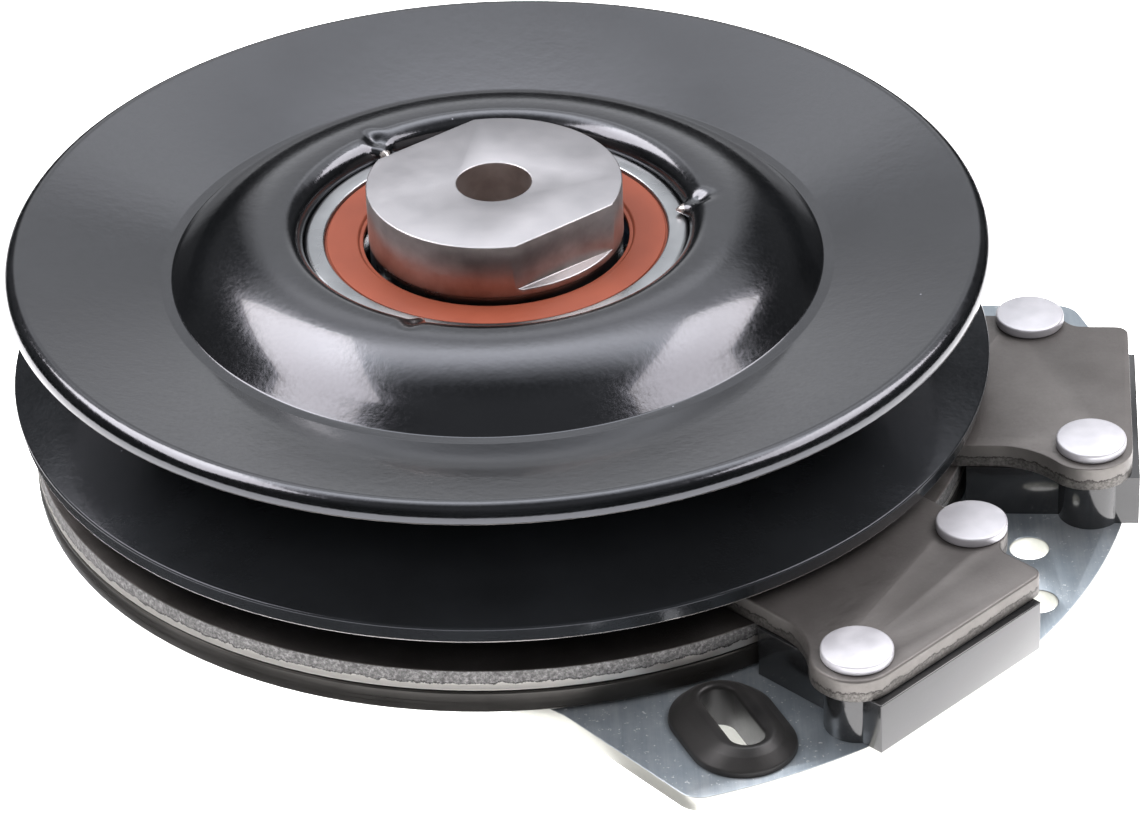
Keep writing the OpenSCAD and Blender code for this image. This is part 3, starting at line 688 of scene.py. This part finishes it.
EDGE_WIDTHS = {
    "mounting_plate": (0.30, "zinc_plate"),
    "arbor": (0.35, "machined_steel"),
    "brake_pole_front": (0.55, "bare_pole_steel"),
    "brake_pole_rear": (0.55, "bare_pole_steel"),
    "magnet_holder_front": (0.35, "magnet_plastic"),
    "magnet_holder_rear": (0.35, "magnet_plastic"),
    "armature_plate": (0.22, "armature_steel"),
    "rotor_disc": (0.35, "rotor_steel"),
    "rotor_hub": (0.35, "machined_steel"),
    "field_shell": (0.30, "zinc_plate"),
    "lead_socket": (0.25, "magnet_plastic"),
    "pole_rivets": (0.35, "zinc_rivet"),
    "plate_rivets": (0.30, "zinc_rivet"),
}
for node, (width, slot) in EDGE_WIDTHS.items():
    piece(node + "_finished", refined_mesh(node, width), [node], slot)

# ---------- grommet ----------


def stadium_mesh(profile, centre, angle, cap_steps=32):
    """A closed profile of (half length, half width, height) carried round an obround."""
    bm = bmesh.new()
    turn = Matrix.Rotation(math.radians(angle), 3, "Z")
    rings = []
    for sign, start in ((1, -90), (-1, 90)):
        for i in range(cap_steps + 1):
            out = direction(start + 180 * i / cap_steps)
            ring = []
            for half_length, half_width, z in profile:
                x = sign * (half_length - half_width) + out.x * half_width
                p = turn @ Vector((x, out.y * half_width, 0)) + Vector((centre.x, centre.y, z))
                ring.append(bm.verts.new(p * MM))
            rings.append(ring)
    count = len(profile)
    for k, ring in enumerate(rings):
        after = rings[(k + 1) % len(rings)]
        for i in range(count):
            j = (i + 1) % count
            bm.faces.new((ring[i], after[i], after[j], ring[j]))
    return bm


grommet_lo, grommet_hi = box_mm("slot_grommet")
plate_lo, plate_hi = box_mm("mounting_plate")
SLOT_ANGLE = -68
SLOT_DISTANCE = 89.5


def grommet_profile():
    """Section of the rubber, as (distance out from the opening's wall, height), made into half sizes.
    opening and foot are the half length and half width at its two ends, which lie reach apart."""
    top, low, plate = grommet_hi.z, grommet_lo.z, plate_hi.z
    opening = (7.8, 2.7)
    foot = (12.1, 8.4)
    reach = 5.7
    section = rounded([
        (0.0, low, 0.3), (0.0, top - 0.1, 0.9), (1.7, top, 1.3), (3.4, top - 0.9, 1.3),
        (5.5, plate + 1.0, 0.7), (reach, plate, 0.2),
        (2.6, plate, 0), (2.6, plate_lo.z, 0), (3.8, plate_lo.z, 0.2), (3.8, low, 0.5),
    ], steps=5)
    made = []
    for out, z in section:
        share = out / reach
        made.append((
            opening[0] + (foot[0] - opening[0]) * share,
            opening[1] + (foot[1] - opening[1]) * share,
            z,
        ))
    return made


piece(
    "slot_grommet_rubber",
    stadium_mesh(grommet_profile(), direction(SLOT_ANGLE) * SLOT_DISTANCE, SLOT_ANGLE),
    ["slot_grommet"], "grommet_rubber",
)

# ---------- floor, light and camera ----------


def stage_mesh(name, corners, faces, paint):
    mesh = bpy.data.meshes.new(name)
    mesh.from_pydata(corners, [], faces)
    mesh.materials.append(paint.material)
    obj = bpy.data.objects.new(name, mesh)
    bpy.context.scene.collection.objects.link(obj)
    return obj


ELEVATION = 0.57458  # of the camera, in radians
FLOOR_RADIUS = 0.55
FLOOR_SIDES = 64
FLOOR_GLOW = 1.9
SLOT_SHADOW_GLOW = 0.12
SLOT_REACH = (0.008, 0.014)  # metres from the middle: dim up to the first, full glow from the second
floor_paint = Paint(
    "floor_white", Base_Color=(0.9, 0.9, 0.9, 1), Roughness=0.9, Emission_Color=(1, 1, 1, 1))
# The floor glows, with a painted shadow: its glow is dim where the camera sees it through the plate's
# slot.
seen_in_slot = direction(SLOT_ANGLE) * SLOT_DISTANCE + Vector((0, plate_hi.z / math.tan(ELEVATION)))
from_slot = floor_paint.add(
    "ShaderNodeVectorMath", {0: floor_paint.place, 1: (*(seen_in_slot * MM), 0)}, operation="DISTANCE")
floor_paint.into(
    "Emission Strength",
    floor_paint.levels(from_slot.outputs["Value"], *SLOT_REACH, SLOT_SHADOW_GLOW, FLOOR_GLOW))
floor = stage_mesh(
    "floor", [(*(direction(360 * i / FLOOR_SIDES) * FLOOR_RADIUS), 0) for i in range(FLOOR_SIDES)],
    [list(range(FLOOR_SIDES))], floor_paint)


def reflected_shadow(inner, outer, start, end, steps=96):
    """Dark band on the floor round the pulley, seen only in reflections, as the shadow that a white
    table has there. Radii in metres, directions in degrees."""
    above_floor = 0.0005
    angles = [start + (end - start) * i / steps for i in range(steps + 1)]
    corners = [(*(direction(a) * r), above_floor) for a in angles for r in (inner, outer)]
    faces = [(2 * i, 2 * i + 1, 2 * i + 3, 2 * i + 2) for i in range(steps)]
    card_paint = Paint("card_black", Roughness=0.95)
    card_paint.into("Base Color", card_paint.ramp(
        card_paint.noise(20), [(0.3, grey(0.02)), (0.7, grey(0.03))]))
    card = stage_mesh("reflected_shadow", corners, faces, card_paint)
    card.visible_camera = card.visible_diffuse = card.visible_shadow = False


reflected_shadow(0.083, 0.118, 30, 282)


STUDIO_STOPS = (
    (0.0, 0.02), (0.12, 0.05), (0.20, 0.14), (0.29, 1.4), (0.48, 0.95), (0.57, 1.0), (0.62, 2.2),
    (0.67, 2.2), (0.73, 1.6), (0.80, 3.0), (0.87, 5.8), (0.94, 5.0), (1.0, 3.0),
)  # (height on the unit sphere of directions, radiance)
CAMERA_SIDE = 0.06  # what is left of the light on the camera's side, and beside the wall
STUDIO_TINT = (0.955, 0.965, 1.0, 1)


def studio_world():
    """White backdrop for the camera. For light, a studio that is dark low down and on the camera's
    side, with a narrow pale wall behind the object and a bright panel high above it."""
    world = bpy.data.worlds.new("studio")
    bpy.context.scene.world = world
    world.use_nodes = True
    tree = world.node_tree
    tree.nodes.clear()

    def add(kind, links=None, **settings):
        return add_node(tree, kind, links, **settings)

    def math_node(operation, first, second=0.0):
        return add("ShaderNodeMath", {0: first, 1: second}, operation=operation).outputs[0]

    way = add("ShaderNodeTexCoord").outputs["Generated"]
    split = add("ShaderNodeSeparateXYZ", {0: way})
    ramp = add("ShaderNodeValToRGB", {"Fac": split.outputs["Z"]})
    peak = max(level for _, level in STUDIO_STOPS)
    set_stops(ramp, [(height, grey(level / peak)) for height, level in STUDIO_STOPS])
    side = add("ShaderNodeMapRange", {
        "Value": split.outputs["Y"], 1: -0.12, 2: 0.42, 3: CAMERA_SIDE, 4: 1.0,
    }, interpolation_type="SMOOTHSTEP")
    across = math_node("ABSOLUTE", split.outputs["X"])
    wall = add("ShaderNodeMapRange", {"Value": across, 1: 0.19, 2: 0.34, 3: 1.0, 4: CAMERA_SIDE})
    above = add("ShaderNodeMapRange", {"Value": split.outputs["Z"], 1: 0.52, 2: 0.72})
    width = math_node("MAXIMUM", wall.outputs[0], above.outputs[0])
    level = math_node("MULTIPLY", ramp.outputs["Color"], side.outputs[0])
    strength = math_node("MULTIPLY", math_node("MULTIPLY", level, width), peak)
    studio = add("ShaderNodeBackground", {"Color": STUDIO_TINT, "Strength": strength})
    white = add("ShaderNodeBackground", {"Color": (1, 1, 1, 1)})
    path = add("ShaderNodeLightPath")
    choose = add("ShaderNodeMixShader", {
        0: path.outputs["Is Camera Ray"], 1: studio.outputs[0], 2: white.outputs[0]})
    add("ShaderNodeOutputWorld", {"Surface": choose.outputs[0]})


studio_world()

aim = Vector((0, 0, (cad_box[0].z + cad_box[1].z) / 2))


def softbox(name, azimuth, elevation, distance, width, depth, radiance, colour, glossy=True):
    """An area light that faces the object from a direction, with the same brightness all over."""
    light = bpy.data.lights.new(name, "AREA")
    light.shape = "RECTANGLE"
    light.size, light.size_y = width, depth
    light.energy = radiance * math.pi * width * depth
    light.color = colour
    flat = direction(azimuth) * math.cos(math.radians(elevation))
    toward = Vector((flat.x, flat.y, math.sin(math.radians(elevation))))
    obj = bpy.data.objects.new(name, light)
    obj.location = aim + toward * distance
    obj.rotation_euler = (-toward).to_track_quat("-Z", "Y").to_euler()
    obj.visible_glossy = glossy
    bpy.context.scene.collection.objects.link(obj)


PINK = (1.0, 0.95, 0.965)
softbox("softbox_left", 165, 52, 1.0, 0.95, 0.46, 10.0, PINK)
softbox("softbox_right", 8, 49, 1.0, 0.85, 0.42, 8.5, PINK)
softbox("fill", -90, 42, 1.1, 0.80, 0.50, 8.0, PINK, glossy=False)

LENS = 163.91
ROLL = -0.03891
DISTANCE = 0.85828
TARGET = Vector((0.011392, 0, 0.020978))
back = Vector((0, -math.cos(ELEVATION), math.sin(ELEVATION)))
level_right = Vector((1, 0, 0))
level_up = Vector((0, math.sin(ELEVATION), math.cos(ELEVATION)))
right = level_right * math.cos(ROLL) + level_up * math.sin(ROLL)
up = level_up * math.cos(ROLL) - level_right * math.sin(ROLL)
camera_data = bpy.data.cameras.new("camera")
camera_data.lens = LENS
camera_data.sensor_width = 36
camera_data.sensor_fit = "HORIZONTAL"
camera_data.clip_start, camera_data.clip_end = 0.05, 20
camera = bpy.data.objects.new("camera", camera_data)
turn = Matrix((right, up, back)).transposed()
camera.matrix_world = Matrix.Translation(TARGET + back * DISTANCE) @ turn.to_4x4()
bpy.context.scene.collection.objects.link(camera)
bpy.context.scene.camera = camera
bpy.context.scene.view_settings.view_transform = "Standard"
